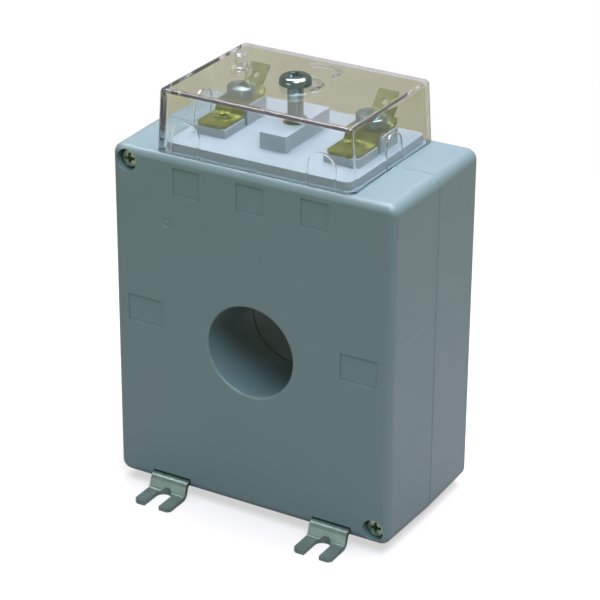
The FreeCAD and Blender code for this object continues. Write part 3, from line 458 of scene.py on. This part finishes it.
MATERIALS = {
    "case_plastic": case_polymer(),
    "deck_plastic": plastic("deck_plastic", DECK_GREY, DECK_GREY_EDGE_HIGHLIGHT, 0.40),
    "clear_cover": clear_polycarbonate(),
    "terminal_brass": metal(
        "terminal_brass", (0.22, 0.25, 0.06, 1), (0.10, 0.13, 0.03, 1), 0.24, stretch=(6, 1, 1),
        toning=0.8, line_depth=0.000002, bareness=0.85,
    ),
    "zinc_steel": metal(
        "zinc_steel", (0.25, 0.35, 0.35, 1), (0.12, 0.20, 0.21, 1), 0.18, stretch=(1, 1, 6),
        toning=0.6,
    ),
    "yellow_zinc": metal(
        "yellow_zinc", (0.55, 0.65, 0.50, 1), (0.20, 0.27, 0.20, 1), 0.30, toning=0.7,
    ),
    "foot_steel": metal(
        "foot_steel", (0.22, 0.31, 0.28, 1), (0.12, 0.18, 0.17, 1), 0.34, stretch=(8, 1, 1),
        bareness=0.6,
    ),
    "core_steel": metal(
        "core_steel", (0.42, 0.43, 0.46, 1), (0.30, 0.31, 0.34, 1), 0.38, stretch=(1, 12, 1),
        toning=0.4,
    ),
    "core_insulation": plastic(
        "core_insulation", (0.72, 0.70, 0.62, 1), (0.80, 0.78, 0.70, 1), 0.5,
    ),
    "enamelled_copper": wound_copper(),
    "lead_insulation": plastic(
        "lead_insulation", (0.02, 0.02, 0.022, 1), (0.05, 0.05, 0.05, 1), 0.35,
    ),
}


def finish_cad_nodes():
    """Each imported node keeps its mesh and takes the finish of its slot."""
    for entry in frame["record"]["subparts"]:
        mesh = NODES[entry["node"]].data
        mesh.materials.clear()
        mesh.materials.append(MATERIALS[entry["material_slot"]])


# Screws: turned heads with a cross recess, and cut threads

def screw_profile(head, height, round_edge, dome):
    """The head's outline from under its rim to the edge of its crown."""
    points = [(head, 0.0), (head, height - dome - round_edge)]
    for step in range(1, EDGE_STEPS + 1):
        angle = math.radians(90 * step / EDGE_STEPS)
        reach = head - round_edge * (1 - math.cos(angle))
        points.append((reach, height - dome - round_edge * (1 - math.sin(angle))))
    flat = head - round_edge
    for step in range(1, DOME_STEPS):
        share = 1 - step / DOME_STEPS
        points.append((flat * share, height - dome * share ** 2))
    return points


def screw_body(name, shank, length, plain, pitch, outline):
    """One closed mesh: the head above Z = 0, and below it a plain neck, a thread and a tip."""
    depth = pitch * THREAD_DEPTH_SHARE
    mesh = bpy.data.meshes.new(name)
    bm = bmesh.new()
    rows = []

    def ring(radius_at, level):
        row = []
        for i in range(THREAD_SIDES):
            angle = 2 * math.pi * i / THREAD_SIDES
            radius = radius_at(angle)
            row.append(bm.verts.new((radius * math.cos(angle), radius * math.sin(angle), level)))
        rows.append(row)

    thread_rows = int((length - plain) / pitch * ROWS_PER_PITCH)
    for k in range(thread_rows + 1):
        level = -length + (length - plain) * k / thread_rows
        taper = min(1.0, TIP_SHARE + (level + length) / pitch * TIP_GROWTH)

        def thread(angle):
            phase = (level / pitch - angle / (2 * math.pi)) % 1.0
            crest = min(1.0, max(0.0, CREST_SLOPE * abs(2 * phase - 1) - CREST_DROP))
            fade = min(1.0, (-plain - level) / pitch)
            return shank * taper - depth * (1 - crest) * fade

        ring(thread, level)
    ring(lambda angle: shank, NECK_TOP)
    for radius, level in outline:
        ring(lambda angle: radius, level)
    for low, high in zip(rows, rows[1:]):
        for i in range(THREAD_SIDES):
            j = (i + 1) % THREAD_SIDES
            bm.faces.new((low[i], low[j], high[j], high[i]))
    bm.faces.new(list(reversed(rows[0])))
    crown = bm.verts.new((0, 0, outline[-1][1]))
    for i in range(THREAD_SIDES):
        bm.faces.new((rows[-1][i], rows[-1][(i + 1) % THREAD_SIDES], crown))
    bm.to_mesh(mesh)
    bm.free()
    return mesh


def cross_tool(head, height):
    """A cross that narrows to its floor, to be cut out of a screw head."""
    reach, arm, depth = head * RECESS_REACH, head * RECESS_ARM, height * RECESS_DEPTH
    corner = arm * RECESS_CORNER
    levels = (
        (height - depth, RECESS_FLOOR),
        (height + depth * RECESS_OVERSHOOT, RECESS_MOUTH),
    )
    outline = []
    for quarter in range(4):
        turn = Matrix.Rotation(math.pi / 2 * quarter, 2)
        for x, y in ((reach, -arm), (reach, arm), (corner, corner)):
            outline.append(turn @ Vector((x, y)))
    mesh = bpy.data.meshes.new("cross_tool")
    bm = bmesh.new()
    rows = []
    for level, share in levels:
        rows.append([bm.verts.new((p.x * share, p.y * share, level)) for p in outline])
    count = len(outline)
    for i in range(count):
        j = (i + 1) % count
        bm.faces.new((rows[0][i], rows[0][j], rows[1][j], rows[1][i]))
    bm.faces.new(list(reversed(rows[0])))
    bm.faces.new(rows[1])
    bm.to_mesh(mesh)
    bm.free()
    return mesh


def applied(obj):
    """The object's mesh with its modifiers worked out."""
    graph = bpy.context.evaluated_depsgraph_get()
    return bpy.data.meshes.new_from_object(obj.evaluated_get(graph))


def link(name, mesh):
    obj = bpy.data.objects.new(name, mesh)
    bpy.context.scene.collection.objects.link(obj)
    return obj


def threaded_screw(node, slot, shank, height, round_edge, plain, pitch, along):
    """Stands for a CAD screw: its head radius, length and place are read from the node's box."""
    low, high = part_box(node)
    centre = (low + high) / 2
    head = (high.x - low.x) / 2
    if along == "Z":
        length = high.z - height - low.z
        place = Matrix.Translation((centre.x, centre.y, high.z - height))
    else:
        length = high.y - low.y - height
        place = (
            Matrix.Translation((centre.x, low.y + height, centre.z))
            @ Matrix.Rotation(math.pi / 2, 4, "X")
        )
    outline = screw_profile(head, height, round_edge, DOME_SHARE * height)
    body = screw_body(node + "_blank", shank, length, plain, pitch, outline)
    blank = link(node + "_blank", body)
    tool = link(node + "_tool", cross_tool(head, height))
    cut = blank.modifiers.new("recess", "BOOLEAN")
    cut.operation = "DIFFERENCE"
    cut.solver = "EXACT"
    cut.object = tool
    mesh = applied(blank)
    bpy.data.objects.remove(blank)
    bpy.data.objects.remove(tool)
    mesh.transform(place)
    mesh.shade_smooth()
    mesh.set_sharp_from_angle(angle=math.radians(SMOOTH_DEGREES))
    mesh.materials.clear()
    mesh.materials.append(MATERIALS[slot])
    piece = link(node + "_threaded", mesh)
    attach(piece, "root")
    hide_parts(node)


def all_screws():
    for node, slot, *lengths, along in SCREWS:
        threaded_screw(node, slot, *(length * MM for length in lengths), along)


# Studio

def softbox(name, place, width, height, power, colour):
    data = bpy.data.lights.new(name, "AREA")
    data.shape = "RECTANGLE"
    data.size = width
    data.size_y = height
    data.energy = power
    data.color = colour
    lamp = bpy.data.objects.new(name, data)
    lamp.location = place
    way = Vector(LAMP_AIM) - Vector(place)
    lamp.rotation_euler = way.to_track_quat("-Z", "Y").to_euler()
    bpy.context.scene.collection.objects.link(lamp)


def room_light(tree, place, lit):
    """White for the camera. Clear plastic, mirrors and spread light meet a warm room's tone."""
    paths = put(tree, "ShaderNodeLightPath").outputs
    by_mirror = calc(tree, "MINIMUM", paths["Glossy Depth"], 1.0)
    by_spread = calc(tree, "MINIMUM", paths["Diffuse Depth"], 1.0)
    across = put(tree, "ShaderNodeSeparateXYZ", {0: place}).outputs["X"]
    mirrored = (
        MIRRORED_LEVEL, MIRRORED_LEVEL * MIRRORED_GREEN, MIRRORED_LEVEL * MIRRORED_BLUE, 1,
    )
    spread_light = (lit, lit * LIT_GREEN, lit * LIT_BLUE, 1)
    to_right = spread(tree, across, *ROOM_TONE_CHANGE)
    through = blend_colours(tree, to_right, ROOM_TONE, ROOM_TONE_RIGHT)
    reflected = blend_colours(tree, by_mirror, through, mirrored)
    indirect = blend_colours(tree, by_spread, reflected, spread_light)
    return blend_colours(tree, paths["Is Camera Ray"], indirect, WHITE)


def white_world():
    world = bpy.data.worlds.new("white_world")
    bpy.context.scene.world = world
    world.use_nodes = True
    tree = world.node_tree
    tree.nodes.clear()
    place = put(tree, "ShaderNodeTexCoord").outputs["Generated"]
    sky = put(tree, "ShaderNodeBackground", {"Color": room_light(tree, place, LIT_BY_WORLD)})
    put(tree, "ShaderNodeOutputWorld", {"Surface": sky.outputs[0]})


def white_floor():
    """White as far as the camera sees it, with the object's soft shadow in the middle."""
    mesh = bpy.data.meshes.new("studio_floor")
    bm = bmesh.new()
    bmesh.ops.create_circle(bm, cap_ends=True, segments=FLOOR_SIDES, radius=FLOOR_RADIUS)
    bm.to_mesh(mesh)
    bm.free()
    material, tree, shader, out = new_material("studio_floor")
    shader.inputs["Base Color"].default_value = (FLOOR_SHADE, FLOOR_SHADE, FLOOR_SHADE, 1)
    shader.inputs["Roughness"].default_value = FLOOR_ROUGHNESS
    shader.inputs["Specular IOR Level"].default_value = 0.0
    place = put(tree, "ShaderNodeTexCoord").outputs["Object"]
    far = spread(tree, calc_vector(tree, "LENGTH", place)["Value"], *SHADOW_FADE)
    glow = put(tree, "ShaderNodeEmission", {"Color": room_light(tree, place, LIT_BY_FLOOR)})
    camera_only = put(tree, "ShaderNodeLightPath").outputs["Is Camera Ray"]
    lift = calc(tree, "MULTIPLY", camera_only, FLOOR_LIFT)
    near = put(tree, "ShaderNodeEmission", {"Strength": lift})
    shadowed = put(tree, "ShaderNodeAddShader", {0: shader.outputs[0], 1: near.outputs[0]})
    inputs = {0: far, 1: shadowed.outputs[0], 2: glow.outputs[0]}
    both = put(tree, "ShaderNodeMixShader", inputs)
    tree.links.new(both.outputs[0], out.inputs["Surface"])
    mesh.materials.append(material)
    link("studio_floor", mesh)


def studio():
    white_world()
    white_floor()
    for lamp in LAMPS:
        softbox(*lamp)


photo_camera()
finish_cad_nodes()
all_screws()
studio()
